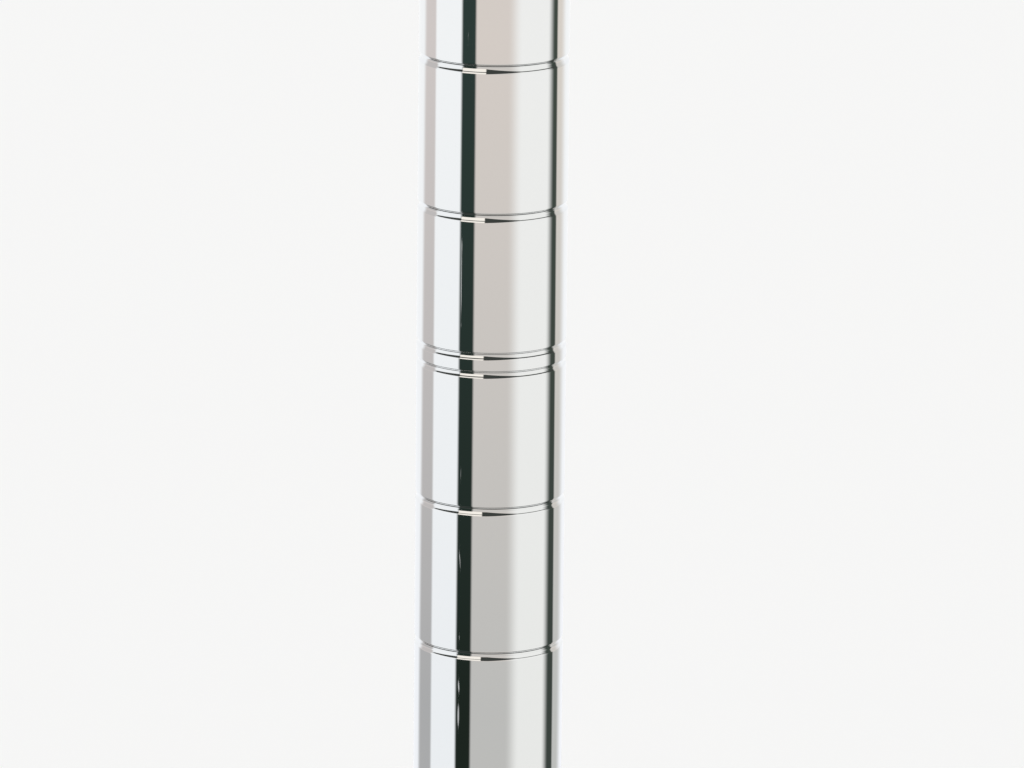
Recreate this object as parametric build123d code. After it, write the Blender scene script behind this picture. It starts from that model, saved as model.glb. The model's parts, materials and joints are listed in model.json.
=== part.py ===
from build123d import *
import os
from math import sqrt

# Grooved steel shelving post with an end cap and a levelling foot. Millimetres, +Z up.
# Origin: centre of the glide's flat underside, with the foot screwed fully in.

# ---------------------------------------------------------------- driving sizes

INCH = 25.4

# Post tube: 1 in round, 16 gauge, 14 in long
TUBE_DIAMETER = 1.0 * INCH
TUBE_WALL = 1.65
TUBE_LENGTH = 14.0 * INCH
TUBE_EDGE = 0.4              # turned-off corner at each end

# Rolled grooves: one at each pitch, a close pair at every eighth pitch
GROOVE_PITCH = 1.0 * INCH
GROOVE_DEPTH = 0.45
GROOVE_MOUTH = 1.54          # width at the wall's face
GROOVE_FLOOR = 0.5           # width at the bottom
PAIR_EVERY = 8
PAIR_SPACING = 0.12 * INCH
PAIR_SHARE = 0.81            # size of a paired groove against a single one
END_CLEAR = 3.0              # plain wall kept between an end plug and a groove

# End cap
CAP_INSET = 0.1              # the head stays inside the tube's outline, so shelf sleeves pass
CAP_RIM = 1.4
CAP_SHOULDER = 1.1           # rise of the steep slope above the rim
CAP_SHOULDER_REACH = 1.0
CAP_CROWN = 0.7              # rise of the shallow slope above that, up to the flat top
CAP_CROWN_REACH = 4.2
CAP_STEM_LENGTH = 15.0
CAP_STEM_WALL = 1.5
CAP_RIB_COUNT = 8
CAP_RIB_WIDTH = 1.2
CAP_RIB_HEIGHT = 0.7
CAP_RIB_LEAD = 2.5

# Threaded insert
INSERT_LENGTH = 16.0
INSERT_FLANGE = 1.5
INSERT_FLANGE_INSET = 0.3
INSERT_LEAD = 1.0
INSERT_RELIEF_DEPTH = 0.8
INSERT_RELIEF_WIDTH = 6.0
INSERT_MOUTH = 0.6

# Levelling bolt: 3/8 in stud, 9/16 in hexagon, bearing disc
STUD_DIAMETER = 0.375 * INCH
STUD_LENGTH = 1.25 * INCH
STUD_POINT = 1.0
HEX_ACROSS_FLATS = 0.5625 * INCH
HEX_HEIGHT = 4.2
HEX_CHAMFER = 0.6
DISC_LEDGE = 3.15            # how far the disc stands out past the hexagon's corners
DISC_THICKNESS = 1.8
DISC_CHAMFER = 0.4

# Glide, snapped over the bolt's disc
GLIDE_FLOOR = 2.0
GLIDE_WALL = 2.2
GLIDE_FOOT_CHAMFER = 0.6
GLIDE_LIP_HEIGHT = 0.9
GLIDE_LIP_BITE = 0.8         # how far the lip reaches in over the disc
GLIDE_LIP_CHAMFER = 0.4

# Clearances
PRESS_GAP = 0.02             # plugs pressed into the tube
THREAD_GAP = 0.05            # stud in the insert, on the radius
SWIVEL_GAP = 0.08            # disc in the glide, on the radius
SWIVEL_LIFT = 0.12           # disc under the glide's lip

# ---------------------------------------------------------------- derived sizes

tube_radius = TUBE_DIAMETER / 2
bore_radius = tube_radius - TUBE_WALL
plug_radius = bore_radius - PRESS_GAP

stud_radius = STUD_DIAMETER / 2
hex_corner_radius = HEX_ACROSS_FLATS / sqrt(3)
disc_radius = hex_corner_radius + DISC_LEDGE
pocket_radius = disc_radius + SWIVEL_GAP

# The foot stacks up from the floor: glide, disc, hexagon, flange, tube
disc_bottom = GLIDE_FLOOR
hex_bottom = disc_bottom + DISC_THICKNESS
hex_top = hex_bottom + HEX_HEIGHT
tube_bottom = hex_top + INSERT_FLANGE
tube_top = tube_bottom + TUBE_LENGTH


# ---------------------------------------------------------------- helpers


def at(radius, height):
    """A point of a turned section: radius from the axis, height above the floor."""
    return Vector(radius, height)


def outline(*points):
    """Straight edges through the points, in order."""
    return [Line(a, b) for a, b in zip(points, points[1:])]


def turned(*points):
    """A solid of revolution about Z from the corners of its section."""
    return revolve(Plane.XZ * make_face(outline(*points, points[0])), Axis.Z)


# ---------------------------------------------------------------- post tube


def grooves():
    """Height above the floor and share of the full size, for every groove from the bottom up."""
    lowest = INSERT_LENGTH + END_CLEAR + GROOVE_MOUTH / 2
    highest = TUBE_LENGTH - CAP_STEM_LENGTH - END_CLEAR - GROOVE_MOUTH / 2
    found = []
    for step in range(1, int(TUBE_LENGTH / GROOVE_PITCH) + 1):
        paired = step % PAIR_EVERY == 0
        offsets = (-PAIR_SPACING / 2, PAIR_SPACING / 2) if paired else (0,)
        middles = [step * GROOVE_PITCH + offset for offset in offsets]
        if lowest <= middles[0] and middles[-1] <= highest:
            found += [(tube_bottom + middle, PAIR_SHARE if paired else 1) for middle in middles]
    return found


def groove_points(height, share):
    """The four corners of one groove, upwards along the outer wall."""
    half_mouth, half_floor = share * GROOVE_MOUTH / 2, share * GROOVE_FLOOR / 2
    floor_radius = tube_radius - share * GROOVE_DEPTH
    return [
        at(tube_radius, height - half_mouth),
        at(floor_radius, height - half_floor),
        at(floor_radius, height + half_floor),
        at(tube_radius, height + half_mouth),
    ]


def post_tube():
    """Round tube turned from a wall section that has every groove."""
    outside = [point for groove in grooves() for point in groove_points(*groove)]
    return turned(
        at(bore_radius, tube_bottom),
        at(tube_radius - TUBE_EDGE, tube_bottom),
        at(tube_radius, tube_bottom + TUBE_EDGE),
        *outside,
        at(tube_radius, tube_top - TUBE_EDGE),
        at(tube_radius - TUBE_EDGE, tube_top),
        at(bore_radius, tube_top),
    )


# ---------------------------------------------------------------- end cap


def cap_rib():
    """One crush rib of the cap's stem, tapered at its lower end to start the plug."""
    root = plug_radius - CAP_RIB_HEIGHT - CAP_STEM_WALL / 2
    tip = sqrt(plug_radius**2 - (CAP_RIB_WIDTH / 2) ** 2)
    stem_bottom = tube_top - CAP_STEM_LENGTH
    side = outline(
        at(root, tube_top),
        at(tip, tube_top),
        at(tip, stem_bottom + CAP_RIB_LEAD),
        at(root, stem_bottom),
        at(root, tube_top),
    )
    return extrude(Plane.XZ * make_face(side), CAP_RIB_WIDTH / 2, both=True)


def top_cap():
    """Low crowned head on the tube's rim, with a hollow ribbed stem in the bore."""
    head_radius = tube_radius - CAP_INSET
    stem_radius = plug_radius - CAP_RIB_HEIGHT
    stem_bottom = tube_top - CAP_STEM_LENGTH
    rim_top = tube_top + CAP_RIM
    shoulder_top = rim_top + CAP_SHOULDER
    crown_top = shoulder_top + CAP_CROWN
    cap = turned(
        at(0, tube_top),
        at(stem_radius - CAP_STEM_WALL, tube_top),
        at(stem_radius - CAP_STEM_WALL, stem_bottom),
        at(stem_radius, stem_bottom),
        at(stem_radius, tube_top),
        at(head_radius, tube_top),
        at(head_radius, rim_top),
        at(head_radius - CAP_SHOULDER_REACH, shoulder_top),
        at(head_radius - CAP_SHOULDER_REACH - CAP_CROWN_REACH, crown_top),
        at(0, crown_top),
    )
    return cap + [turn * cap_rib() for turn in PolarLocations(0, CAP_RIB_COUNT)]


# ---------------------------------------------------------------- levelling foot


def foot_insert():
    """Flanged plug pressed into the bottom of the tube, bored for the stud."""
    hole_radius = stud_radius + THREAD_GAP
    flange_radius = tube_radius - INSERT_FLANGE_INSET
    plug_top = tube_bottom + INSERT_LENGTH
    relief_middle = tube_bottom + INSERT_LENGTH / 2
    relief_radius = plug_radius - INSERT_RELIEF_DEPTH
    return turned(
        at(hole_radius + INSERT_MOUTH, hex_top),
        at(flange_radius, hex_top),
        at(flange_radius, tube_bottom),
        at(plug_radius, tube_bottom),
        at(plug_radius, relief_middle - INSERT_RELIEF_WIDTH / 2),
        at(relief_radius, relief_middle - INSERT_RELIEF_WIDTH / 2 + INSERT_RELIEF_DEPTH),
        at(relief_radius, relief_middle + INSERT_RELIEF_WIDTH / 2 - INSERT_RELIEF_DEPTH),
        at(plug_radius, relief_middle + INSERT_RELIEF_WIDTH / 2),
        at(plug_radius, plug_top - INSERT_LEAD),
        at(plug_radius - INSERT_LEAD, plug_top),
        at(hole_radius, plug_top),
        at(hole_radius, hex_top + INSERT_MOUTH),
    )


def levelling_bolt():
    """Stud, wrench hexagon and bearing disc in one piece."""
    stud_top = hex_top + STUD_LENGTH
    turned_part = turned(
        at(0, disc_bottom),
        at(disc_radius, disc_bottom),
        at(disc_radius, hex_bottom - DISC_CHAMFER),
        at(disc_radius - DISC_CHAMFER, hex_bottom),
        at(stud_radius, hex_bottom),
        at(stud_radius, stud_top - STUD_POINT),
        at(stud_radius - STUD_POINT, stud_top),
        at(0, stud_top),
    )
    prism = extrude(
        RegularPolygon(HEX_ACROSS_FLATS / 2, side_count=6, major_radius=False), HEX_HEIGHT
    )
    blank = turned(
        at(0, hex_bottom),
        at(hex_corner_radius, hex_bottom),
        at(hex_corner_radius, hex_top - HEX_CHAMFER),
        at(HEX_ACROSS_FLATS / 2, hex_top),
        at(0, hex_top),
    )
    return turned_part + (Pos(0, 0, hex_bottom) * prism & blank)


def glide_pad():
    """Moulded cup under the disc, with a lip that snaps over the disc's edge."""
    foot_radius = pocket_radius + GLIDE_WALL
    lip_bottom = hex_bottom + SWIVEL_LIFT
    lip_top = lip_bottom + GLIDE_LIP_HEIGHT
    lip_radius = disc_radius - GLIDE_LIP_BITE
    return turned(
        at(0, 0),
        at(foot_radius - GLIDE_FOOT_CHAMFER, 0),
        at(foot_radius, GLIDE_FOOT_CHAMFER),
        at(foot_radius, lip_top - GLIDE_LIP_CHAMFER),
        at(foot_radius - GLIDE_LIP_CHAMFER, lip_top),
        at(lip_radius + GLIDE_LIP_CHAMFER, lip_top),
        at(lip_radius, lip_top - GLIDE_LIP_CHAMFER),
        at(lip_radius, lip_bottom),
        at(pocket_radius, lip_bottom),
        at(pocket_radius, disc_bottom),
        at(0, disc_bottom),
    )


# ---------------------------------------------------------------- export

PARTS = {
    "post_tube": post_tube,
    "top_cap": top_cap,
    "foot_insert": foot_insert,
    "levelling_bolt": levelling_bolt,
    "glide_pad": glide_pad,
}

os.makedirs("parts", exist_ok=True)
for name, build in PARTS.items():
    export_step(build(), f"parts/{name}.step")
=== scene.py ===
import json
from math import ceil, cos, pi, radians, sin, tan

import bmesh
import bpy
from bpy.props import FloatProperty, FloatVectorProperty, IntProperty, PointerProperty
from mathutils import Matrix, Vector


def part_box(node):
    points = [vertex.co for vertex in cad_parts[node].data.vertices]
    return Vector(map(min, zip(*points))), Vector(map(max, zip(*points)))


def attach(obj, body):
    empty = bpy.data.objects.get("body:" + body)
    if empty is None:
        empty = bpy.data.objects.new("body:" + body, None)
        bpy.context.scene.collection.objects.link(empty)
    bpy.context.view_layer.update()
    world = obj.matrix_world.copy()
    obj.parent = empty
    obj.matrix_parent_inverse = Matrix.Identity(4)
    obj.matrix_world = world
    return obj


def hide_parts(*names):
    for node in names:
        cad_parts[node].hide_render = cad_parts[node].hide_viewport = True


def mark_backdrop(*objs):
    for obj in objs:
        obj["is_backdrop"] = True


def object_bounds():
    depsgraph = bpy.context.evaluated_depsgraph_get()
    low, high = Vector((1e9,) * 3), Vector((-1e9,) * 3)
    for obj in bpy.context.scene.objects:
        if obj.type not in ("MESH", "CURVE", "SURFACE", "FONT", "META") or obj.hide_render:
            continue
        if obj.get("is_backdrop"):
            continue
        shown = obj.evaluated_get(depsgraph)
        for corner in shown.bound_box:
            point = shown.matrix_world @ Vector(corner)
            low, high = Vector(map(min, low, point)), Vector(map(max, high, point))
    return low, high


bl_info = {
    "name": "Grooved Shelving Post",
    "version": (1, 0, 0),
    "blender": (4, 5, 0),
    "location": "View3D > Sidebar > Post",
    "description": "Makes a chrome shelving post with rolled grooves, an end cap and a levelling foot",
    "category": "Add Mesh",
}

# Metres, in the CAD model's frame: +Z up the post's axis, origin on the floor under it.
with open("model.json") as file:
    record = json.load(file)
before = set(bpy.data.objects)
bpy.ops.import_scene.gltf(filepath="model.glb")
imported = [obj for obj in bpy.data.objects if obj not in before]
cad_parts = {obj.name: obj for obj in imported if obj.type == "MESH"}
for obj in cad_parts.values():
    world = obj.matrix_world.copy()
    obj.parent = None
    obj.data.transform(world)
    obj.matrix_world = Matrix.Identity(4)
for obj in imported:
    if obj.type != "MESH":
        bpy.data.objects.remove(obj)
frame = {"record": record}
CAD_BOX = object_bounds()

MM = 0.001
INCH = 25.4 * MM


# ---------------------------------------------------------------- settings


def length(name, description, default):
    """A length that a user can change, in metres."""
    return FloatProperty(
        name=name, description=description, default=default, min=0, precision=5, unit="LENGTH"
    )


def colour(name, description, default):
    """A colour that a user can change."""
    return FloatVectorProperty(
        name=name, description=description, default=default, size=3, min=0, max=1, subtype="COLOR"
    )


def record_colour(slot):
    """The colour that the part's record gives a material slot."""
    slots = {entry["slot"]: entry for entry in frame["record"]["materials"]}
    return tuple(slots[slot]["base_color"])


class TubeSettings(bpy.types.PropertyGroup):
    pitch: length("Groove Pitch", "Height from one groove to the next", 1.0 * INCH)
    pair_every: IntProperty(
        name="Pair Every", description="Every so many grooves comes a close pair", default=8, min=1
    )
    pair_gap: length("Pair Gap", "Height between the two grooves of a pair", 0.125 * INCH)
    pair_share: FloatProperty(
        name="Pair Share", description="Width of a paired groove against a single one", default=0.81
    )
    end_clear: length("End Clearance", "Least height from a tube end to a groove", 20 * MM)
    groove_width: length("Groove Width", "Width of a groove at the wall's face", 1.42 * MM)
    groove_depth: length("Groove Depth", "Depth of a groove", 0.33 * MM)
    groove_floor: length("Groove Floor", "Width of a groove's bottom", 0.7 * MM)
    floor_round: length("Groove Floor Radius", "Roundness of a groove's inner corners", 0.8 * MM)
    shoulder_round: length("Groove Shoulder Radius", "Roundness of a groove's edges", 0.4 * MM)
    wall: length("Wall", "Thickness of the tube's wall", 1.65 * MM)
    edge: length("End Chamfer", "Corner turned off each end", 0.4 * MM)
    land: length("Land", "Flat wall kept beside a groove's edge", 0.2 * MM)
    segments: IntProperty(name="Segments", description="Facets round the tube", default=144, min=12)


class CapSettings(bpy.types.PropertyGroup):
    rim: length("Rim Height", "Straight side of the head", 1.4 * MM)
    stem_wall: length("Stem Wall", "Thickness of the hollow stem", 1.5 * MM)
    rib_count: IntProperty(name="Ribs", description="Crush ribs round the stem", default=8, min=3)
    rib_width: length("Rib Width", "Width of a crush rib", 1.2 * MM)
    rib_height: length("Rib Height", "How far a rib stands out from the stem", 0.7 * MM)
    rib_gap: length("Plug Gap", "Room between a plug and the tube's bore", 0.02 * MM)
    fullness: FloatProperty(
        name="Dome Fullness", description="2 is an ellipse, and more is squarer", default=2.6, min=1
    )


class FootSettings(bpy.types.PropertyGroup):
    relief_width: length("Relief Width", "Width of the insert's waist", 6 * MM)
    relief_depth: length("Relief Depth", "Depth of the insert's waist", 0.8 * MM)
    thread_pitch: length("Thread Pitch", "Rise of the thread in one turn", INCH / 16)
    stud_radius: length("Stud Radius", "Outer radius of the thread", 0.1875 * INCH)
    thread_depth: length("Thread Depth", "Depth of the thread", 0.95 * MM)
    thread_gap: length("Thread Gap", "Room round the stud in the insert", 0.05 * MM)
    stud_point: length("Stud Point", "Chamfer at the stud's top", 1 * MM)
    hex_flats: length("Hexagon", "Width across the hexagon's flats", 0.5625 * INCH)
    hex_height: length("Hexagon Height", "Height of the hexagon", 4.2 * MM)
    hex_chamfer: length("Hexagon Chamfer", "Drop of the chamfer at a corner", 0.6 * MM)
    disc: length("Disc", "Thickness of the bearing disc", 1.8 * MM)
    swivel_gap: length("Swivel Gap", "Room round the disc in the glide", 0.08 * MM)
    lip: length("Lip", "Height of the glide's lip over the disc", 0.9 * MM)
    lip_bite: length("Lip Bite", "How far the lip reaches in over the disc", 0.8 * MM)


class FinishSettings(bpy.types.PropertyGroup):
    chrome: colour("Chrome", "Plating on the tube", record_colour("chrome_plate"))
    cap: colour("Cap Plastic", "Moulded end cap", record_colour("cap_plastic"))
    insert: colour("Insert Steel", "Turned, zinc plated insert", record_colour("insert_steel"))
    bolt: colour("Bolt Steel", "Bright zinc plated bolt", record_colour("bolt_steel"))
    glide: colour("Glide Nylon", "Satin nylon glide", record_colour("glide_nylon"))


class StageSettings(bpy.types.PropertyGroup):
    floor: colour("Floor", "Pale studio floor", (0.905, 0.905, 0.9))
    backdrop: colour("Backdrop", "White behind the post", (0.91, 0.91, 0.905))
    ring_radius: length("Ring Radius", "Ring of cards that the chrome reflects", 0.42)
    ring_bottom: FloatProperty(name="Ring Bottom", description="Its lowest height", default=0.0)
    ring_top: FloatProperty(name="Ring Top", description="Its highest height", default=0.2)
    room_light: FloatProperty(name="Room Light", description="Even light all round", default=0.7)
    sun_light: FloatProperty(name="Sun", description="Soft light from above", default=1.15)


class PostSettings(bpy.types.PropertyGroup):
    tube: PointerProperty(type=TubeSettings)
    cap: PointerProperty(type=CapSettings)
    foot: PointerProperty(type=FootSettings)
    finish: PointerProperty(type=FinishSettings)
    stage: PointerProperty(type=StageSettings)


# ---------------------------------------------------------------- node graphs


class Graph:
    """Adds nodes to a tree, with each input given as a value or as another node's output."""

    def __init__(self, tree):
        self.tree = tree

    def feed(self, socket, value):
        if isinstance(value, bpy.types.NodeSocket):
            self.tree.links.new(value, socket)
        else:
            socket.default_value = value

    def add(self, kind, inputs=(), **settings):
        """A node with its settings, and its inputs by name or by number."""
        node = self.tree.nodes.new(kind)
        for name, value in settings.items():
            setattr(node, name, value)
        for key, value in dict(inputs).items():
            self.feed(node.inputs[key], value)
        return node

    def math(self, operation, *values):
        """The result of a Math node."""
        return self.add("ShaderNodeMath", enumerate(values), operation=operation).outputs[0]


# ---------------------------------------------------------------- finishes


def blank_finish(name, fixed):
    """A new material, its graph, and its Principled shader with fixed values on its sockets."""
    material = bpy.data.materials.new(name)
    material.use_nodes = True
    material.node_tree.nodes.clear()
    graph = Graph(material.node_tree)
    shader = graph.add("ShaderNodeBsdfPrincipled", fixed)
    graph.add("ShaderNodeOutputMaterial", {"Surface": shader.outputs["BSDF"]})
    return material, graph, shader


def surface_place(graph, stretch=(1, 1, 1)):
    """The place on the piece, stretched for a pattern with a direction."""
    place = graph.add("ShaderNodeTexCoord").outputs["Object"]
    return graph.add("ShaderNodeMapping", {"Vector": place, "Scale": stretch}).outputs[0]


def height_and_radius(graph):
    """The surface's height, and its distance from the post's axis."""
    parts = graph.add("ShaderNodeSeparateXYZ", {"Vector": surface_place(graph)}).outputs
    squares = (graph.math("MULTIPLY", parts[axis], parts[axis]) for axis in "XY")
    return parts["Z"], graph.math("SQRT", graph.math("ADD", *squares))


def noise(graph, place, scale, detail=2.0, roughness=0.5):
    """Smooth random values from 0 to 1, with so many features a metre."""
    inputs = {"Vector": place, "Scale": scale, "Detail": detail, "Roughness": roughness}
    return graph.add("ShaderNodeTexNoise", inputs).outputs[0]


def ramp(graph, value, start, end, low=0.0, high=1.0):
    """The value's way from start to end, as a number from low to high that stays between them."""
    inputs = {"Value": value, "From Min": start, "From Max": end, "To Min": low, "To Max": high}
    return graph.add("ShaderNodeMapRange", inputs).outputs[0]


def blend(graph, factor, first, second):
    """A colour from the first to the second as the factor goes from 0 to 1."""
    mix = {0: factor, 6: first, 7: second}
    return graph.add("ShaderNodeMix", mix, data_type="RGBA").outputs[2]


def bumped(graph, height, depth):
    """A normal for a relief whose heights of 0 to 1 stand for that depth."""
    return graph.add("ShaderNodeBump", {"Height": height, "Distance": depth}).outputs[0]


def lit(rgb, factor=1.0):
    """A colour made lighter or darker, with its alpha."""
    return (*(channel * factor for channel in rgb), 1.0)


def chrome_finish(settings):
    """Mirror-bright plating with faint drawing lines along the tube."""
    fixed = {"Base Color": lit(settings.finish.chrome), "Metallic": 1.0}
    material, graph, shader = blank_finish("Chrome plate", fixed)
    haze = noise(graph, surface_place(graph), scale=60, detail=4.0)
    lines = noise(graph, surface_place(graph, stretch=(1, 1, 0.02)), scale=9000, detail=3.0)
    roughness = ramp(graph, haze, 0.3, 0.7, low=0.015, high=0.03)
    graph.feed(shader.inputs["Roughness"], roughness)
    graph.feed(shader.inputs["Normal"], bumped(graph, lines, depth=0.0003 * MM))
    return material


def cap_finish(settings):
    """Dark moulded plastic with a fine grain."""
    material, graph, shader = blank_finish("Cap plastic", {"Specular IOR Level": 0.45})
    rgb, place = settings.finish.cap, surface_place(graph)
    cloud = noise(graph, place, scale=180, detail=3.0)
    grain = noise(graph, place, scale=2600, detail=3.0, roughness=0.7)
    roughness = ramp(graph, grain, 0.3, 0.7, low=0.42, high=0.62)
    graph.feed(shader.inputs["Base Color"], blend(graph, cloud, lit(rgb, 0.85), lit(rgb, 1.25)))
    graph.feed(shader.inputs["Roughness"], roughness)
    graph.feed(shader.inputs["Normal"], bumped(graph, grain, depth=0.03 * MM))
    return material


def zinc_finish(name, rgb, dullness):
    """Zinc plated steel: fine turning rings, and a clouded tint from blue to straw."""
    material, graph, shader = blank_finish(name, {"Metallic": 1.0})
    height, radius = height_and_radius(graph)
    section = graph.add("ShaderNodeCombineXYZ", {"X": radius, "Z": height}).outputs[0]
    rings = noise(graph, section, scale=7000)
    cloud = noise(graph, surface_place(graph), scale=320, detail=4.0, roughness=0.6)
    red, green, blue = rgb
    bluish, straw = (red * 0.93, green * 0.97, blue * 1.04, 1), (red, green * 0.99, blue * 0.92, 1)
    tint = blend(graph, ramp(graph, cloud, 0.35, 0.65), bluish, straw)
    roughness = ramp(graph, cloud, 0.3, 0.7, low=dullness, high=dullness + 0.12)
    graph.feed(shader.inputs["Base Color"], tint)
    graph.feed(shader.inputs["Roughness"], roughness)
    graph.feed(shader.inputs["Normal"], bumped(graph, rings, depth=0.004 * MM))
    return material


def glide_finish(settings):
    """Satin nylon, scuffed round its foot."""
    material, graph, shader = blank_finish("Glide nylon", {"Specular IOR Level": 0.5})
    rgb, place = settings.finish.glide, surface_place(graph)
    height, _ = height_and_radius(graph)
    foot = ramp(graph, height, 1.5 * MM, 0)
    worn = ramp(graph, noise(graph, place, scale=700), 0.45, 0.6)
    scuffs = graph.math("MULTIPLY", foot, worn)
    grain = noise(graph, place, scale=1500, detail=3.0, roughness=0.6)
    roughness = ramp(graph, grain, 0.3, 0.7, low=0.33, high=0.48)
    graph.feed(shader.inputs["Base Color"], blend(graph, scuffs, lit(rgb), lit(rgb, 2.4)))
    graph.feed(shader.inputs["Roughness"], roughness)
    graph.feed(shader.inputs["Normal"], bumped(graph, grain, depth=0.012 * MM))
    return material


# ---------------------------------------------------------------- turned shapes


def rounded(*corners, steps=6):
    """A section's points from its (radius, height, roundness) corners, with an arc at each round."""
    section = []
    for i, (radius, height, roundness) in enumerate(corners):
        corner = Vector((radius, height))
        if not roundness:
            section.append(corner)
            continue
        back = (Vector(corners[i - 1][:2]) - corner).normalized()
        ahead = (Vector(corners[(i + 1) % len(corners)][:2]) - corner).normalized()
        half = back.angle(ahead) / 2
        centre = corner + (back + ahead).normalized() * roundness / sin(half)
        reach = roundness / tan(half)
        first = (corner + back * reach - centre).normalized()
        last = (corner + ahead * reach - centre).normalized()
        for step in range(steps + 1):
            section.append(centre + first.slerp(last, step / steps) * roundness)
    return section


def turned(section, segments=128):
    """A closed shell turned about Z from a section, given anticlockwise from its bottom."""
    shape, rings = bmesh.new(), []
    for radius, height in section:
        if radius < 1e-9:
            rings.append([shape.verts.new((0, 0, height))] * segments)
            continue
        turns = [2 * pi * i / segments for i in range(segments)]
        rings.append([shape.verts.new((radius * cos(a), radius * sin(a), height)) for a in turns])
    for lower, upper in zip(rings, rings[1:] + rings[:1]):
        for i in range(segments):
            j = (i + 1) % segments
            corners = list(dict.fromkeys((lower[i], lower[j], upper[j], upper[i])))
            if len(corners) > 2:
                shape.faces.new(corners)
    return as_mesh(shape)


def as_mesh(shape):
    """A plain mesh from a bmesh whose shells are closed, with its faces outwards."""
    bmesh.ops.recalc_face_normals(shape, faces=shape.faces)
    mesh = bpy.data.meshes.new("shape")
    shape.to_mesh(mesh)
    shape.free()
    return mesh


def show(name, mesh, material, body, node):
    """Shows a mesh as the piece that stands for a CAD node, on that node's body."""
    mesh.materials.clear()
    mesh.materials.append(material)
    mesh.shade_smooth()
    mesh.set_sharp_from_angle(angle=radians(35))
    piece = bpy.data.objects.new(name, mesh)
    bpy.context.scene.collection.objects.link(piece)
    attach(piece, body)
    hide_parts(node)


# ---------------------------------------------------------------- geometry trees


class ShapeTree(Graph):
    """A geometry tree whose named inputs get these values, grown on a start mesh."""

    def __init__(self, title, **values):
        super().__init__(bpy.data.node_groups.new(title, "GeometryNodeTree"))
        self.tree.is_modifier = True
        self.values = {name.replace("_", " ").title(): value for name, value in values.items()}
        self.socket("Geometry", "OUTPUT", "NodeSocketGeometry")
        self.socket("Geometry", "INPUT", "NodeSocketGeometry")
        kinds = {float: "NodeSocketFloat", int: "NodeSocketInt"}
        for name, value in self.values.items():
            self.socket(name, "INPUT", kinds.get(type(value), "NodeSocketMaterial"))
        self.given = self.add("NodeGroupInput").outputs

    def socket(self, name, side, kind):
        self.tree.interface.new_socket(name, in_out=side, socket_type=kind)

    def pick(self, index, *options, data_type="FLOAT"):
        """The option that an index points at."""
        switch = self.add("GeometryNodeIndexSwitch", data_type=data_type)
        while len(switch.index_switch_items) < len(options):
            switch.index_switch_items.new()
        for key, value in (("Index", index), *enumerate(options)):
            self.feed(switch.inputs[str(key)], value)
        return switch.outputs[0]

    def point(self, x=0.0, y=0.0, z=0.0):
        """A place from its three coordinates."""
        return self.add("ShaderNodeCombineXYZ", {"X": x, "Y": y, "Z": z}).outputs[0]

    def end(self, geometry):
        """Closes the tree with real geometry in the given material."""
        real = self.add("GeometryNodeRealizeInstances", {0: geometry}).outputs[0]
        skin = {"Geometry": real, "Material": self.given["Material"]}
        result = self.add("GeometryNodeSetMaterial", skin).outputs[0]
        self.add("NodeGroupOutput", {"Geometry": result})

    def grow(self, start):
        """The plain mesh that the tree makes from a start mesh."""
        seed = bpy.data.objects.new("seed", start)
        modifier = seed.modifiers.new(self.tree.name, "NODES")
        modifier.node_group = self.tree
        for item in self.tree.interface.items_tree:
            if item.in_out == "INPUT" and item.name in self.values:
                modifier[item.identifier] = self.values[item.name]
        bpy.context.scene.collection.objects.link(seed)
        ready = seed.evaluated_get(bpy.context.evaluated_depsgraph_get())
        mesh = bpy.data.meshes.new_from_object(ready)
        bpy.data.objects.remove(seed)
        return mesh


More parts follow.
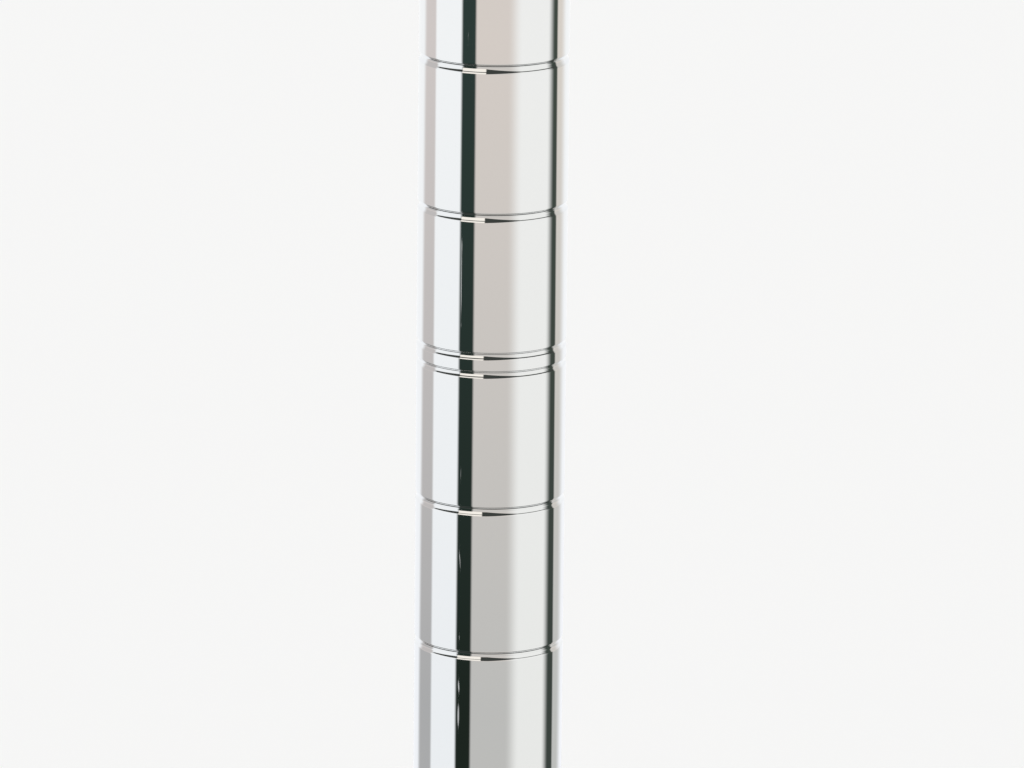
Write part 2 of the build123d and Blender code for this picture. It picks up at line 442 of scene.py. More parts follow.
def rolled_tube(sizes, low, high, radius, material):
    """A tree for a round tube with a groove at each vertex of its start mesh, from the bottom up.

    A vertex has the groove's height as Z, and its share of the full width as X. The wall's section
    has six corners for each groove and six at the tube's ends. The grooves' corners are rounded,
    and the section is swept round a circle on the tube's face.
    """
    tree = ShapeTree(
        "Rolled tube",
        bottom=low,
        top=high,
        radius=radius,
        wall=sizes.wall,
        end_chamfer=sizes.edge,
        groove_width=sizes.groove_width,
        groove_floor=sizes.groove_floor,
        groove_depth=sizes.groove_depth,
        floor_radius=sizes.floor_round,
        shoulder_radius=sizes.shoulder_round,
        land=sizes.land,
        segments=sizes.segments,
        material=material,
    )
    math, given = tree.math, tree.given

    # One corner for each index. The places and counts of the grooves come from the start mesh
    marks = tree.add("GeometryNodeAttributeDomainSize", {"Geometry": given["Geometry"]})
    groove_corners = math("MULTIPLY", marks.outputs["Point Count"], 6)
    index = tree.add("GeometryNodeInputIndex").outputs[0]
    in_groove = math("LESS_THAN", index, groove_corners)
    place = tree.add("GeometryNodeInputPosition").outputs[0]
    number = math("FLOOR", math("DIVIDE", index, 6))
    sampled = {"Geometry": given["Geometry"], "Value": place, "Index": number}
    mark = tree.add("GeometryNodeSampleIndex", sampled, data_type="FLOAT_VECTOR").outputs[0]
    mark_parts = tree.add("ShaderNodeSeparateXYZ", {"Vector": mark}).outputs
    share, middle = mark_parts["X"], mark_parts["Z"]

    # In a groove they run land, shoulder, floor, floor, shoulder, land: ranks 2 1 0 0 1 2
    from_middle = math("SUBTRACT", math("MODULO", index, 6), 2.5)
    side = math("SIGN", from_middle)
    rank = math("FLOOR", math("ABSOLUTE", from_middle))
    half_floor = math("MULTIPLY", given["Groove Floor"], 0.5)
    half_width = math("MULTIPLY", given["Groove Width"], 0.5)
    reach = tree.pick(rank, half_floor, half_width, math("ADD", half_width, given["Land"]))
    height = math("MULTIPLY_ADD", math("MULTIPLY", side, reach), share, middle)
    below_face = tree.pick(rank, given["Groove Depth"], 0.0, 0.0)
    roundness = tree.pick(rank, given["Floor Radius"], given["Shoulder Radius"], 0.0)
    roundness = math("MULTIPLY", roundness, share)

    # At the ends: up and over the top rim, down the bore, and out under the bottom rim
    chamfer, wall = given["End Chamfer"], given["Wall"]
    top, bottom = given["Top"], given["Bottom"]
    below_top, above_bottom = math("SUBTRACT", top, chamfer), math("ADD", bottom, chamfer)
    at_end = math("SUBTRACT", index, groove_corners)
    end_height = tree.pick(at_end, below_top, top, top, bottom, bottom, above_bottom)
    end_below_face = tree.pick(at_end, 0.0, chamfer, wall, wall, chamfer, 0.0)

    # The sweep sets X outwards from the circle and Y downwards
    height = tree.pick(in_groove, end_height, height)
    below_face = tree.pick(in_groove, end_below_face, below_face)
    corner = tree.point(math("MULTIPLY", below_face, -1), math("MULTIPLY", height, -1))
    line = tree.add("GeometryNodeMeshLine", {"Count": math("ADD", groove_corners, 6)})
    corners = {"Geometry": line.outputs[0], "Position": corner}
    section = tree.add("GeometryNodeSetPosition", corners).outputs[0]
    section = tree.add("GeometryNodeMeshToCurve", {"Mesh": section}).outputs[0]
    section = tree.add("GeometryNodeSetSplineCyclic", {0: section, "Cyclic": True}).outputs[0]
    rounds = {
        "Curve": section,
        "Count": 7,
        "Radius": math("MULTIPLY", roundness, in_groove),
        "Limit Radius": True,
    }
    section = tree.add("GeometryNodeFilletCurve", rounds, mode="POLY").outputs[0]
    ring = {"Resolution": given["Segments"], "Radius": given["Radius"]}
    circle = tree.add("GeometryNodeCurvePrimitiveCircle", ring, mode="RADIUS").outputs[0]
    sweep = {"Curve": circle, "Profile Curve": section}
    wall = tree.add("GeometryNodeCurveToMesh", sweep).outputs[0]
    tree.end(tree.add("GeometryNodeFlipFaces", {"Mesh": wall}).outputs[0])
    return tree


def threaded_stud(sizes, low, high, material):
    """A tree that adds a stud with a right-hand thread to its start mesh.

    Rows of a grid climb one pitch in each turn, so the crests are rows of it and the seam meets
    itself. Rows past either end fold into that end, and the first and last one close it.
    """
    steps = 8                             # rows in each turn of the thread
    root_end, crest_start = 0.08, 0.42    # in turns, over half a thread
    tree = ShapeTree(
        "Threaded stud",
        bottom=low,
        top=high,
        radius=sizes.stud_radius,
        depth=sizes.thread_depth,
        pitch=sizes.thread_pitch,
        point=sizes.stud_point,
        segments=72,
        rows=steps * ceil((high - low) / sizes.thread_pitch + 3) + 1,
        material=material,
    )
    math, given = tree.math, tree.given
    counts = {"Vertices X": math("ADD", given["Segments"], 1), "Vertices Y": given["Rows"]}
    grid = tree.add("GeometryNodeMeshGrid", {"Size X": 1.0, "Size Y": 1.0, **counts}).outputs[0]
    place = tree.add("GeometryNodeInputPosition").outputs[0]
    parts = tree.add("ShaderNodeSeparateXYZ", {"Vector": place}).outputs
    turn = math("ADD", parts["X"], 0.5)
    last_row = math("SUBTRACT", given["Rows"], 1)
    row = math("ROUND", math("MULTIPLY", math("ADD", parts["Y"], 0.5), last_row))

    # Climb of each point in turns of the thread, then its height above the stud's bottom
    climb = math("ADD", math("SUBTRACT", math("DIVIDE", row, steps), 2), turn)
    length = math("SUBTRACT", given["Top"], given["Bottom"])
    rise = math("MULTIPLY", climb, given["Pitch"])
    height = math("MINIMUM", math("MAXIMUM", rise, 0), length)

    # Flat crests and roots, that run out over one turn at both ends
    wave = math("PINGPONG", math("DIVIDE", row, steps), 0.5)
    ridge = ramp(tree, wave, root_end, crest_start)
    run_out = math("DIVIDE", math("MINIMUM", height, math("SUBTRACT", length, height)), given["Pitch"])
    ridge = math("MULTIPLY", ridge, math("MINIMUM", run_out, 1))
    root = math("SUBTRACT", given["Radius"], given["Depth"])
    radius = math("MULTIPLY_ADD", ridge, given["Depth"], root)
    from_top = math("SUBTRACT", length, height)
    chamfer = math("ADD", math("SUBTRACT", given["Radius"], given["Point"]), from_top)
    radius = math("MINIMUM", radius, chamfer)
    past_first = math("GREATER_THAN", row, 0.5)
    before_last = math("LESS_THAN", row, math("SUBTRACT", last_row, 0.5))
    radius = math("MULTIPLY", radius, math("MULTIPLY", past_first, before_last))

    angle = math("MULTIPLY", turn, 2 * pi)
    x = math("MULTIPLY", math("COSINE", angle), radius)
    y = math("MULTIPLY", math("SINE", angle), radius)
    moved = {"Geometry": grid, "Position": tree.point(x, y, math("ADD", height, given["Bottom"]))}
    thread = tree.add("GeometryNodeSetPosition", moved).outputs[0]
    merged = {"Geometry": thread, "Distance": 1e-6}
    thread = tree.add("GeometryNodeMergeByDistance", merged).outputs[0]
    both = tree.add("GeometryNodeJoinGeometry")
    tree.feed(both.inputs[0], given["Geometry"])
    tree.feed(both.inputs[0], thread)
    tree.end(both.outputs[0])
    return tree


def ribbed_plug(sizes, radius, low, high, material):
    """A tree that adds crush ribs to its start mesh, evenly round a plug of that radius."""
    tree = ShapeTree(
        "Ribbed plug",
        bottom=low,
        top=high,
        radius=radius,
        rib_width=sizes.rib_width,
        rib_height=sizes.rib_height,
        ribs=sizes.rib_count,
        material=material,
    )
    math, given = tree.math, tree.given
    length = math("SUBTRACT", given["Top"], given["Bottom"])
    thickness = math("MULTIPLY", given["Rib Height"], 1.5)    # so that ribs root in the stem
    size = tree.point(thickness, given["Rib Width"], length)
    block = tree.add("GeometryNodeMeshCube", {"Size": size, "Vertices Z": 7}).outputs[0]

    # The lowest part of a rib slopes in, to lead the plug into the tube
    place = tree.add("GeometryNodeInputPosition").outputs[0]
    parts = tree.add("ShaderNodeSeparateXYZ", {"Vector": place}).outputs
    near_bottom = -0.45                   # of the rib's length, from its middle
    lowest = math("LESS_THAN", parts["Z"], math("MULTIPLY", length, near_bottom))
    outer = math("GREATER_THAN", parts["X"], 0)
    inwards = math("MULTIPLY", math("MULTIPLY", lowest, outer), given["Rib Height"])
    lead = {"Geometry": block, "Offset": tree.point(math("MULTIPLY", inwards, -1))}
    rib = tree.add("GeometryNodeSetPosition", lead).outputs[0]
    out = math("SUBTRACT", given["Radius"], math("MULTIPLY", thickness, 0.5))
    middle = math("MULTIPLY", math("ADD", given["Top"], given["Bottom"]), 0.5)
    moved = {"Geometry": rib, "Translation": tree.point(out, 0.0, middle)}
    rib = tree.add("GeometryNodeTransform", moved).outputs[0]

    # Every rib is already out at its radius, so the points they sit on are all at the axis
    axis = tree.add("GeometryNodeMeshLine", {"Count": given["Ribs"], "Offset": (0, 0, 0)}).outputs[0]
    index = tree.add("GeometryNodeInputIndex").outputs[0]
    turn = math("MULTIPLY", math("DIVIDE", index, given["Ribs"]), 2 * pi)
    placed = {"Points": axis, "Instance": rib, "Rotation": tree.point(z=turn)}
    ring = tree.add("GeometryNodeInstanceOnPoints", placed).outputs[0]
    both = tree.add("GeometryNodeJoinGeometry")
    tree.feed(both.inputs[0], given["Geometry"])
    tree.feed(both.inputs[0], ring)
    tree.end(both.outputs[0])
    return tree


# ---------------------------------------------------------------- pieces


def groove_marks(sizes, low, high):
    """A vertex for each groove, with a close pair of narrower grooves at every so many."""
    places, step = [], 1
    while step * sizes.pitch < high - low - sizes.end_clear:
        height, half = low + step * sizes.pitch, sizes.pair_gap / 2
        if step % sizes.pair_every:
            places.append((1, 0, height))
        else:
            places += [(sizes.pair_share, 0, height - half), (sizes.pair_share, 0, height + half)]
        step += 1
    marks = bpy.data.meshes.new("groove_marks")
    marks.from_pydata(places, [], [])
    return marks


class POST_OT_make_tube(bpy.types.Operator):
    """Make the chrome tube with its rolled grooves"""

    bl_idname = "post.make_tube"
    bl_label = "Make Tube"

    def execute(self, context):
        settings = context.scene.post
        (_, _, low), (radius, _, high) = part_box("post_tube")
        marks = groove_marks(settings.tube, low, high)
        finish = chrome_finish(settings)
        mesh = rolled_tube(settings.tube, low, high, radius, finish).grow(marks)
        show("grooved_tube", mesh, finish, "post", "post_tube")
        return {"FINISHED"}


class POST_OT_make_cap(bpy.types.Operator):
    """Make the domed end cap with its ribbed plug"""

    bl_idname = "post.make_cap"
    bl_label = "Make End Cap"

    def execute(self, context):
        settings = context.scene.post
        sizes = settings.cap
        (_, _, bottom), (radius, _, crown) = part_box("top_cap")
        tube_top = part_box("post_tube")[1].z
        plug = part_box("post_tube")[1].x - settings.tube.wall - sizes.rib_gap
        stem, rim = plug - sizes.rib_height, tube_top + sizes.rim
        dome, steps = [], 24
        for step in range(1, steps):
            out = cos(pi / 2 * step / steps)
            rise = (1 - out**sizes.fullness) ** (1 / sizes.fullness)
            dome.append((radius * out, rim + (crown - rim) * rise, 0))
        section = rounded(
            (stem - sizes.stem_wall, bottom, 0),
            (stem, bottom, 0),
            (stem, tube_top, 0),
            (radius, tube_top, 0.15 * MM),
            (radius, rim, 0),
            *dome,
            (0, crown, 0),
            (0, tube_top, 0),
            (stem - sizes.stem_wall, tube_top, 0),
        )
        finish = cap_finish(settings)
        mesh = ribbed_plug(sizes, plug, bottom, tube_top, finish).grow(turned(section))
        show("end_cap", mesh, finish, "post", "top_cap")
        return {"FINISHED"}


class POST_OT_make_insert(bpy.types.Operator):
    """Make the flanged insert that holds the levelling stud"""

    bl_idname = "post.make_insert"
    bl_label = "Make Insert"

    def execute(self, context):
        settings = context.scene.post
        sizes = settings.foot
        (_, _, bottom), (flange, _, top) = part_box("foot_insert")
        tube_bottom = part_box("post_tube")[0].z
        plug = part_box("post_tube")[1].x - settings.tube.wall - settings.cap.rib_gap
        hole = sizes.stud_radius + sizes.thread_gap
        mouth, lead = 0.6 * MM, 1.0 * MM
        middle, half = (tube_bottom + top) / 2, sizes.relief_width / 2
        section = rounded(
            (hole + mouth, bottom, 0),
            (flange, bottom, 0.3 * MM),
            (flange, tube_bottom, 0.2 * MM),
            (plug, tube_bottom, 0),
            (plug, middle - half, 0),
            (plug - sizes.relief_depth, middle - half + sizes.relief_depth, 0),
            (plug - sizes.relief_depth, middle + half - sizes.relief_depth, 0),
            (plug, middle + half, 0),
            (plug, top - lead, 0),
            (plug - lead, top, 0),
            (hole, top, 0),
            (hole, bottom + mouth, 0),
        )
        finish = zinc_finish("Insert zinc", settings.finish.insert, 0.24)
        show("thread_insert", turned(section), finish, "post", "foot_insert")
        return {"FINISHED"}


def bolt_head(sizes, low, disc_radius, segments=144):
    """A disc under a hexagon whose corners are cut by a cone, as one closed shell."""
    disc_top = low + sizes.disc
    hex_top, flat = disc_top + sizes.hex_height, sizes.hex_flats / 2
    slope = sizes.hex_chamfer / (flat / cos(pi / 6) - flat)
    disc = rounded(
        (0, low, 0),
        (disc_radius, low, 0.2 * MM),
        (disc_radius, disc_top, 0.4 * MM),
        (0, disc_top, 0),
    )[:-1]
    shape, rings = bmesh.new(), []
    turns = [2 * pi * i / segments for i in range(segments)]
    for radius, height in disc[1:]:
        rings.append([(radius * cos(a), radius * sin(a), height) for a in turns])
    foot, cut, rim = [], [], []
    for a in turns:
        side = flat / cos((a + pi / 6) % (pi / 3) - pi / 6)
        foot.append((side * cos(a), side * sin(a), disc_top))
        cut.append((side * cos(a), side * sin(a), hex_top - (side - flat) * slope))
        rim.append((flat * cos(a), flat * sin(a), hex_top))
    rings += [foot, cut, rim]
    rows = [[shape.verts.new(place) for place in ring] for ring in rings]
    bottom, top = shape.verts.new((0, 0, low)), shape.verts.new((0, 0, hex_top))
    for i in range(segments):
        j = (i + 1) % segments
        shape.faces.new((bottom, rows[0][j], rows[0][i]))
        shape.faces.new((top, rows[-1][i], rows[-1][j]))
        for lower, upper in zip(rows, rows[1:]):
            shape.faces.new((lower[i], lower[j], upper[j], upper[i]))
    bmesh.ops.remove_doubles(shape, verts=shape.verts, dist=1e-6)
    return as_mesh(shape)


class POST_OT_make_leveller(bpy.types.Operator):
    """Make the levelling bolt: disc, hexagon and threaded stud"""

    bl_idname = "post.make_leveller"
    bl_label = "Make Levelling Bolt"

    def execute(self, context):
        settings = context.scene.post
        sizes = settings.foot
        (_, _, low), (radius, _, high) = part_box("levelling_bolt")
        head = bolt_head(sizes, low, radius)
        hex_top, rooted = low + sizes.disc + sizes.hex_height, 0.5 * MM
        finish = zinc_finish("Bolt zinc", settings.finish.bolt, 0.18)
        mesh = threaded_stud(sizes, hex_top - rooted, high, finish).grow(head)
        show("levelling_screw", mesh, finish, "leveller", "levelling_bolt")
        return {"FINISHED"}


class POST_OT_make_glide(bpy.types.Operator):
    """Make the moulded glide that meets the floor"""

    bl_idname = "post.make_glide"
    bl_label = "Make Glide"

    def execute(self, context):
        settings = context.scene.post
        sizes = settings.foot
        (_, _, floor), (radius, _, top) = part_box("glide_pad")
        disc_bottom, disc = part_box("levelling_bolt")[0].z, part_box("levelling_bolt")[1].x
        pocket, lip = disc + sizes.swivel_gap, disc - sizes.lip_bite
        section = rounded(
            (0, floor, 0),
            (radius, floor, 0.7 * MM),
            (radius, top, 0.6 * MM),
            (lip, top, 0.4 * MM),
            (lip, top - sizes.lip, 0.15 * MM),
            (pocket, top - sizes.lip, 0),
            (pocket, disc_bottom, 0),
            (0, disc_bottom, 0),
        )
        finish = glide_finish(settings)
        show("glide_foot", turned(section), finish, "glide", "glide_pad")
        return {"FINISHED"}


# ---------------------------------------------------------------- stage

# What the chrome reflects, by its bearing from the post: 0 is towards the camera, and minus is
# on its left. Each band runs up to a bearing, which differs high up and near the floor, and
# fades into the next one over some degrees. It has a colour high up and one near the floor.
# The bands are painted reflections: colours on a glowing ring that stand for a studio's walls,
# diffusers and flags.
BANDS = (
    ("backdrop", -128.1, -134.8, 14, (1.0, 1.01, 1.01), (0.975, 0.99, 1.02)),
    ("left wall", -98.6, -98.9, 6, (0.715, 0.655, 0.63), (0.46, 0.46, 0.46)),
    ("left diffuser", -49.3, -51.4, 5, (1.02, 1.03, 1.03), (0.96, 0.98, 0.995)),
    ("left flag", -27.2, -27.1, 4.5, (0.03, 0.049, 0.043), (0.014, 0.021, 0.016)),
    ("front wall", 31.8, 37.2, 24, (0.76, 0.69, 0.635), (0.578, 0.572, 0.55)),
    ("right diffuser", 97.1, 98.1, 16, (0.98, 0.975, 0.95), (0.93, 0.93, 0.90)),
    ("right flag", 111.9, 118.2, 5, (0.058, 0.074, 0.06), (0.05, 0.062, 0.053)),
    ("right wall", 131.8, 142.1, 24, (0.77, 0.71, 0.645), (0.58, 0.585, 0.56)),
    ("backdrop again", 180, 180, 0, (1.0, 1.01, 1.01), (0.975, 0.99, 1.02)),
)
NEAR_FLOOR, HIGH_UP = 0.032, 0.186    # heights of those bearings and colours

# Glints painted as bright spots on the card ring over the left flag, which the chrome mirrors:
# bearing, height, half its width in degrees, half its height, how far it leans in degrees over that
# half, and brightness
GLINTS = (
    (-39.5, 0.1862, 0.5, 0.0003, 0, 0.35),
    (-47.1, 0.1312, 0.6, 0.0105, 0.1, 0.5),
    (-47.0, 0.1388, 1.3, 0.0016, 0, 0.25),
    (-47.1, 0.1209, 0.8, 0.0004, 0, 0.2),
    (-45.4, 0.0868, 0.5, 0.0015, 0, 0.22),
    (-45.8, 0.0671, 0.8, 0.0022, -1.6, 0.42),
    (-45.6, 0.0491, 0.6, 0.0004, 0, 0.4),
    (-45.9, 0.0377, 1.4, 0.0015, -0.6, 0.55),
    (-46.1, 0.0309, 1.8, 0.0030, 0, 0.5),
)
GLINT_EDGE, GLINT_SOFTNESS = 0.6, 0.8    # in squares of the way from its middle to its end

# Past the ring the chrome reflects the room, by bearing and by lean: how far the wall has to
# lean up, in degrees, to mirror a place to the camera, as it does in a groove's slopes
# The room's darkness and its cream lamp are painted, by lean from the camera's direction, so that the
# grooves' slopes mirror a painted dark line and a painted highlight
PAINTED_DARK_ROOM, CREAM_LAMP_REFLECTION = (0.05, 0.055, 0.05), (1.06, 1.0, 0.91)
LAMP_FROM, LAMP_TO = -50, -12            # bearings of the lamp over the flag
SLOPE_TO = 44                            # from there the front wall's top slopes up to here
FRONT_TOP, SIDE_TOP = 3, 38              # leans over which it is dark, in front and elsewhere
LEFT_TOP, FAR_LEFT_TOP = 25, 34          # and over the left diffuser, whose top slopes
LEFT_TOP_AT, FAR_LEFT_TOP_AT = -55, -95  # between these bearings
SIDE_BOTTOM, LEFT_BOTTOM = -21.5, -19.5  # leans under which it is dark, and left of the flag
HIGH_FROM, LOW_FROM = -97, -122          # bearings where the darkness starts, above and below
DARK_TO = 112                            # and where it ends
CRISP, SOFT, SOFTER = 2, 10, 12          # widths of those edges, by bearing
LEAN_SOFTNESS = 3                        # and by lean

# The camera stands far off with a long lens, and looks down at the upper half of the post
CAMERA_LENS, CAMERA_SENSOR = 277.5, 36   # millimetres
CAMERA_DISTANCE = 1.3                    # from the post's axis
CAMERA_RISE = 0.26705                    # over the groove that it is set by
CAMERA_GROOVE = 10                       # that groove's number, from the bottom
CAMERA_TILT, CAMERA_SWING, CAMERA_ROLL = 14.0, 0.1573, 0.586

SUN_WAY, SUN_SOFTNESS = (0.38, 0.275, -0.88), 25


def glow_material(name):
    """A new material that only glows, its graph, and its Emission node."""
    material = bpy.data.materials.new(name)
    material.use_nodes = True
    material.node_tree.nodes.clear()
    graph = Graph(material.node_tree)
    glow = graph.add("ShaderNodeEmission", {"Strength": 1.0})
    graph.add("ShaderNodeOutputMaterial", {"Surface": glow.outputs[0]})
    return material, graph, glow


def fade(graph, value, edge, softness):
    """0 below an edge and 1 above it, over a smooth width."""
    past = graph.math("SUBTRACT", value, edge)
    inputs = {"Value": past, "From Min": -softness / 2, "From Max": softness / 2}
    return graph.add("ShaderNodeMapRange", inputs, interpolation_type="SMOOTHSTEP").outputs[0]


def bands_round(graph, bearing, up):
    """The bands' colours at a bearing, from 0 near the floor to 1 high up."""
    shown, edge = None, None
    for _, high_edge, low_edge, softness, high, low in BANDS:
        colour = blend(graph, up, lit(low), lit(high))
        shown = blend(graph, edge, shown, colour) if shown else colour
        at = graph.math("MULTIPLY_ADD", up, high_edge - low_edge, low_edge)
        edge = fade(graph, bearing, at, softness) if softness else None
    return shown


def glint(graph, bearing, height, place):
    """How bright one of the painted glints is at a bearing and a height."""
    middle, level, half_width, half_height, slant, light = place
    along = graph.math("DIVIDE", graph.math("SUBTRACT", height, level), half_height)
    axis = graph.math("MULTIPLY_ADD", along, slant, middle)
    aside = graph.math("DIVIDE", graph.math("SUBTRACT", bearing, axis), half_width)
    squares = graph.math("ADD", *(graph.math("MULTIPLY", way, way) for way in (along, aside)))
    return graph.math("MULTIPLY", fade(graph, squares, GLINT_EDGE, -GLINT_SOFTNESS), light)


def card_ring(settings):
    """A glowing ring of painted cards round the post that only reflections see."""
    material, graph, glow = glow_material("Card ring")
    parts = graph.add("ShaderNodeSeparateXYZ", {"Vector": surface_place(graph)}).outputs
    height, ahead = parts["Z"], graph.math("MULTIPLY", parts["Y"], -1)
    bearing = graph.math("DEGREES", graph.math("ARCTAN2", parts["X"], ahead))
    shown = bands_round(graph, bearing, ramp(graph, height, NEAR_FLOOR, HIGH_UP))
    # Painted glints: bright spots on the glowing ring, which the chrome mirrors
    for place in GLINTS:
        shown = blend(graph, glint(graph, bearing, height, place), shown, (1, 1, 1, 1))
    graph.feed(glow.inputs["Color"], shown)

    stage = settings.stage
    segments = 180
    shape = bmesh.new()
    turns = [2 * pi * i / segments for i in range(segments)]
    rows = [
        [shape.verts.new((stage.ring_radius * cos(a), stage.ring_radius * sin(a), z)) for a in turns]
        for z in (stage.ring_bottom, stage.ring_top)
    ]
    for i in range(segments):
        j = (i + 1) % segments
        shape.faces.new((rows[0][j], rows[0][i], rows[1][i], rows[1][j]))
    mesh = bpy.data.meshes.new("card_ring")
    shape.to_mesh(mesh)
    shape.free()
    mesh.materials.append(material)
    ring = bpy.data.objects.new("card_ring", mesh)
    ring.visible_camera = ring.visible_diffuse = ring.visible_shadow = False
    ring.visible_transmission = ring.visible_volume_scatter = False
    return ring


def floor_sheet(settings):
    """A large pale floor that keeps the post's shadow."""
    material = bpy.data.materials.new("Studio floor")
    material.use_nodes = True
    material.node_tree.nodes.clear()
    graph = Graph(material.node_tree)
    plain = graph.add("ShaderNodeBsdfDiffuse", {"Color": lit(settings.stage.floor)}).outputs[0]
    graph.add("ShaderNodeOutputMaterial", {"Surface": plain})
    mesh = bpy.data.meshes.new("floor")
    reach = 8.0
    corners = [(-reach, -reach, 0), (reach, -reach, 0), (reach, reach, 0), (-reach, reach, 0)]
    mesh.from_pydata(corners, [], [(0, 1, 2, 3)])
    mesh.materials.append(material)
    floor = bpy.data.objects.new("floor", mesh)
    floor.visible_glossy = False
    return floor


def room_beyond(graph):
    """What the chrome sees past the ring: the bands go on, up and down to painted darkness, with a
    painted cream lamp reflection over the flag. Both are placed by lean from the camera's direction,
    so that the grooves' slopes mirror them as dark lines and a highlight.

    The wall that mirrors a direction to the camera faces half-way between the two.
    """
    way = graph.add("ShaderNodeTexCoord").outputs["Generated"]
    camera = (0, -cos(radians(CAMERA_TILT)), sin(radians(CAMERA_TILT)))
    facing = graph.add("ShaderNodeVectorMath", {0: way, 1: camera}, operation="ADD").outputs[0]
    facing = graph.add("ShaderNodeVectorMath", {0: facing}, operation="NORMALIZE").outputs[0]
    facing = graph.add("ShaderNodeSeparateXYZ", {"Vector": facing}).outputs
    half = graph.math("ARCTAN2", facing["X"], graph.math("MULTIPLY", facing["Y"], -1))
    bearing = graph.math("MULTIPLY", graph.math("DEGREES", half), 2)
    lean = graph.math("DEGREES", graph.math("ARCSINE", facing["Z"]))

    # Over the flag and the wall in front there is painted darkness, but for one painted lamp
    # reflection over the flag
    past_flag = fade(graph, bearing, LAMP_FROM, CRISP)
    right_end = fade(graph, bearing, DARK_TO, SOFT)
    top = ramp(graph, bearing, LAMP_TO, SLOPE_TO, FRONT_TOP, SIDE_TOP)
    over = graph.math("SUBTRACT", past_flag, right_end)
    over = graph.math("MULTIPLY", fade(graph, lean, top, LEAN_SOFTNESS), over)
    past_lamp = fade(graph, bearing, LAMP_TO, CRISP)
    above = blend(graph, past_lamp, lit(CREAM_LAMP_REFLECTION), lit(PAINTED_DARK_ROOM))
    shown = blend(graph, over, bands_round(graph, bearing, 0.5), above)

    # Higher and lower still there is painted darkness, but not beside and behind the post
    left = ramp(graph, bearing, FAR_LEFT_TOP_AT, LEFT_TOP_AT, FAR_LEFT_TOP, LEFT_TOP)
    top = ramp(graph, past_flag, 0, 1, left, SIDE_TOP)
    bottom = ramp(graph, past_flag, 0, 1, LEFT_BOTTOM, SIDE_BOTTOM)
    high = graph.math("SUBTRACT", fade(graph, bearing, HIGH_FROM, SOFT), right_end)
    low = graph.math("SUBTRACT", fade(graph, bearing, LOW_FROM, SOFTER), right_end)
    high = graph.math("MULTIPLY", fade(graph, lean, top, LEAN_SOFTNESS), high)
    low = graph.math("MULTIPLY", fade(graph, lean, bottom, -LEAN_SOFTNESS), low)
    return blend(graph, graph.math("MAXIMUM", high, low), shown, lit(PAINTED_DARK_ROOM))


def studio_world(settings):
    """White to the camera, even light on the object, and the room beyond, with its painted darkness
    and painted lamp reflection, to the chrome.
    """
    world = bpy.data.worlds.new("Studio")
    world.use_nodes = True
    world.node_tree.nodes.clear()
    graph = Graph(world.node_tree)
    path = graph.add("ShaderNodeLightPath").outputs
    shown = lit((1, 1, 1), settings.stage.room_light)
    shown = blend(graph, path["Is Glossy Ray"], shown, room_beyond(graph))
    shown = blend(graph, path["Is Camera Ray"], shown, lit(settings.stage.backdrop))
    sky = graph.add("ShaderNodeBackground", {"Color": shown, "Strength": 1.0}).outputs[0]
    graph.add("ShaderNodeOutputWorld", {"Surface": sky})
    return world


def soft_sun(settings):
    """Even light from above and the left, with a soft shadow, that the chrome doesn't mirror."""
    lamp = bpy.data.lights.new("sun", "SUN")
    lamp.energy, lamp.angle = settings.stage.sun_light, radians(SUN_SOFTNESS)
    holder = bpy.data.objects.new("sun", lamp)
    holder.matrix_world = Vector(SUN_WAY).to_track_quat("-Z", "Y").to_matrix().to_4x4()
    holder.visible_glossy = False
    return holder


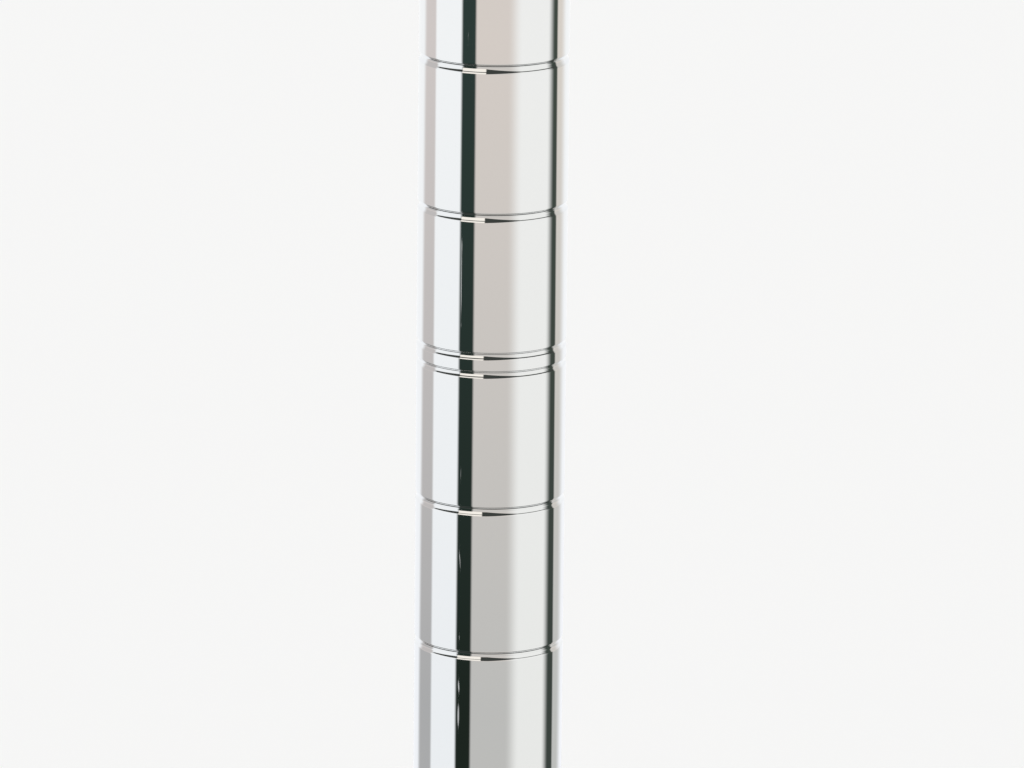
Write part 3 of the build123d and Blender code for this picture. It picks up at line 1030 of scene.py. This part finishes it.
def studio_camera(settings):
    """A long lens that looks down on the grooves in the upper half of the post."""
    camera = bpy.data.cameras.new("camera")
    camera.lens, camera.sensor_width, camera.clip_end = CAMERA_LENS, CAMERA_SENSOR, 50
    holder = bpy.data.objects.new("camera", camera)
    tilt, swing, roll = (radians(turn) for turn in (CAMERA_TILT, CAMERA_SWING, CAMERA_ROLL))
    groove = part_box("post_tube")[0].z + CAMERA_GROOVE * settings.tube.pitch
    eye = Matrix.Translation((0, -CAMERA_DISTANCE, groove + CAMERA_RISE))
    aim = Matrix.Rotation(-swing, 4, "Z") @ Matrix.Rotation(pi / 2 - tilt, 4, "X")
    holder.matrix_world = eye @ aim @ Matrix.Rotation(roll, 4, "Z")
    return holder


class POST_OT_make_stage(bpy.types.Operator):
    """Make the floor, the card ring, the light and the camera"""

    bl_idname = "post.make_stage"
    bl_label = "Make Stage"

    def execute(self, context):
        settings = context.scene.post
        scene = context.scene
        scene.view_settings.view_transform = "Standard"
        scene.world = studio_world(settings)
        floor, ring, camera = floor_sheet(settings), card_ring(settings), studio_camera(settings)
        for thing in (floor, ring, soft_sun(settings), camera):
            scene.collection.objects.link(thing)
        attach(floor, "glide")    # so it stays under the foot, however far that is screwed out
        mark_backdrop(floor, ring)
        scene.camera = camera
        return {"FINISHED"}


# ---------------------------------------------------------------- panel and run


class POST_PT_sidebar(bpy.types.Panel):
    """Sizes, finishes and operators of the shelving post"""

    bl_label = "Shelving Post"
    bl_space_type = "VIEW_3D"
    bl_region_type = "UI"
    bl_category = "Post"

    def draw(self, context):
        settings = context.scene.post
        for group in (settings.tube, settings.cap, settings.foot, settings.finish, settings.stage):
            box = self.layout.box()
            for name in group.__annotations__:
                box.prop(group, name)
        for maker in MAKERS:
            self.layout.operator(maker.bl_idname)


MAKERS = (
    POST_OT_make_tube,
    POST_OT_make_cap,
    POST_OT_make_insert,
    POST_OT_make_leveller,
    POST_OT_make_glide,
    POST_OT_make_stage,
)
GROUPS = (TubeSettings, CapSettings, FootSettings, FinishSettings, StageSettings, PostSettings)
CLASSES = (*GROUPS, *MAKERS, POST_PT_sidebar)


def register():
    for cls in CLASSES:
        bpy.utils.register_class(cls)
    bpy.types.Scene.post = PointerProperty(type=PostSettings)


def unregister():
    del bpy.types.Scene.post
    for cls in reversed(CLASSES):
        bpy.utils.unregister_class(cls)


def main():
    register()
    bpy.ops.post.make_tube()
    bpy.ops.post.make_cap()
    bpy.ops.post.make_insert()
    bpy.ops.post.make_leveller()
    bpy.ops.post.make_glide()
    bpy.ops.post.make_stage()
    boxes = {"cad": CAD_BOX, "visual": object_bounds()}
    {name: [list(corner) for corner in box] for name, box in boxes.items()}


if __name__ == "__main__":
    main()
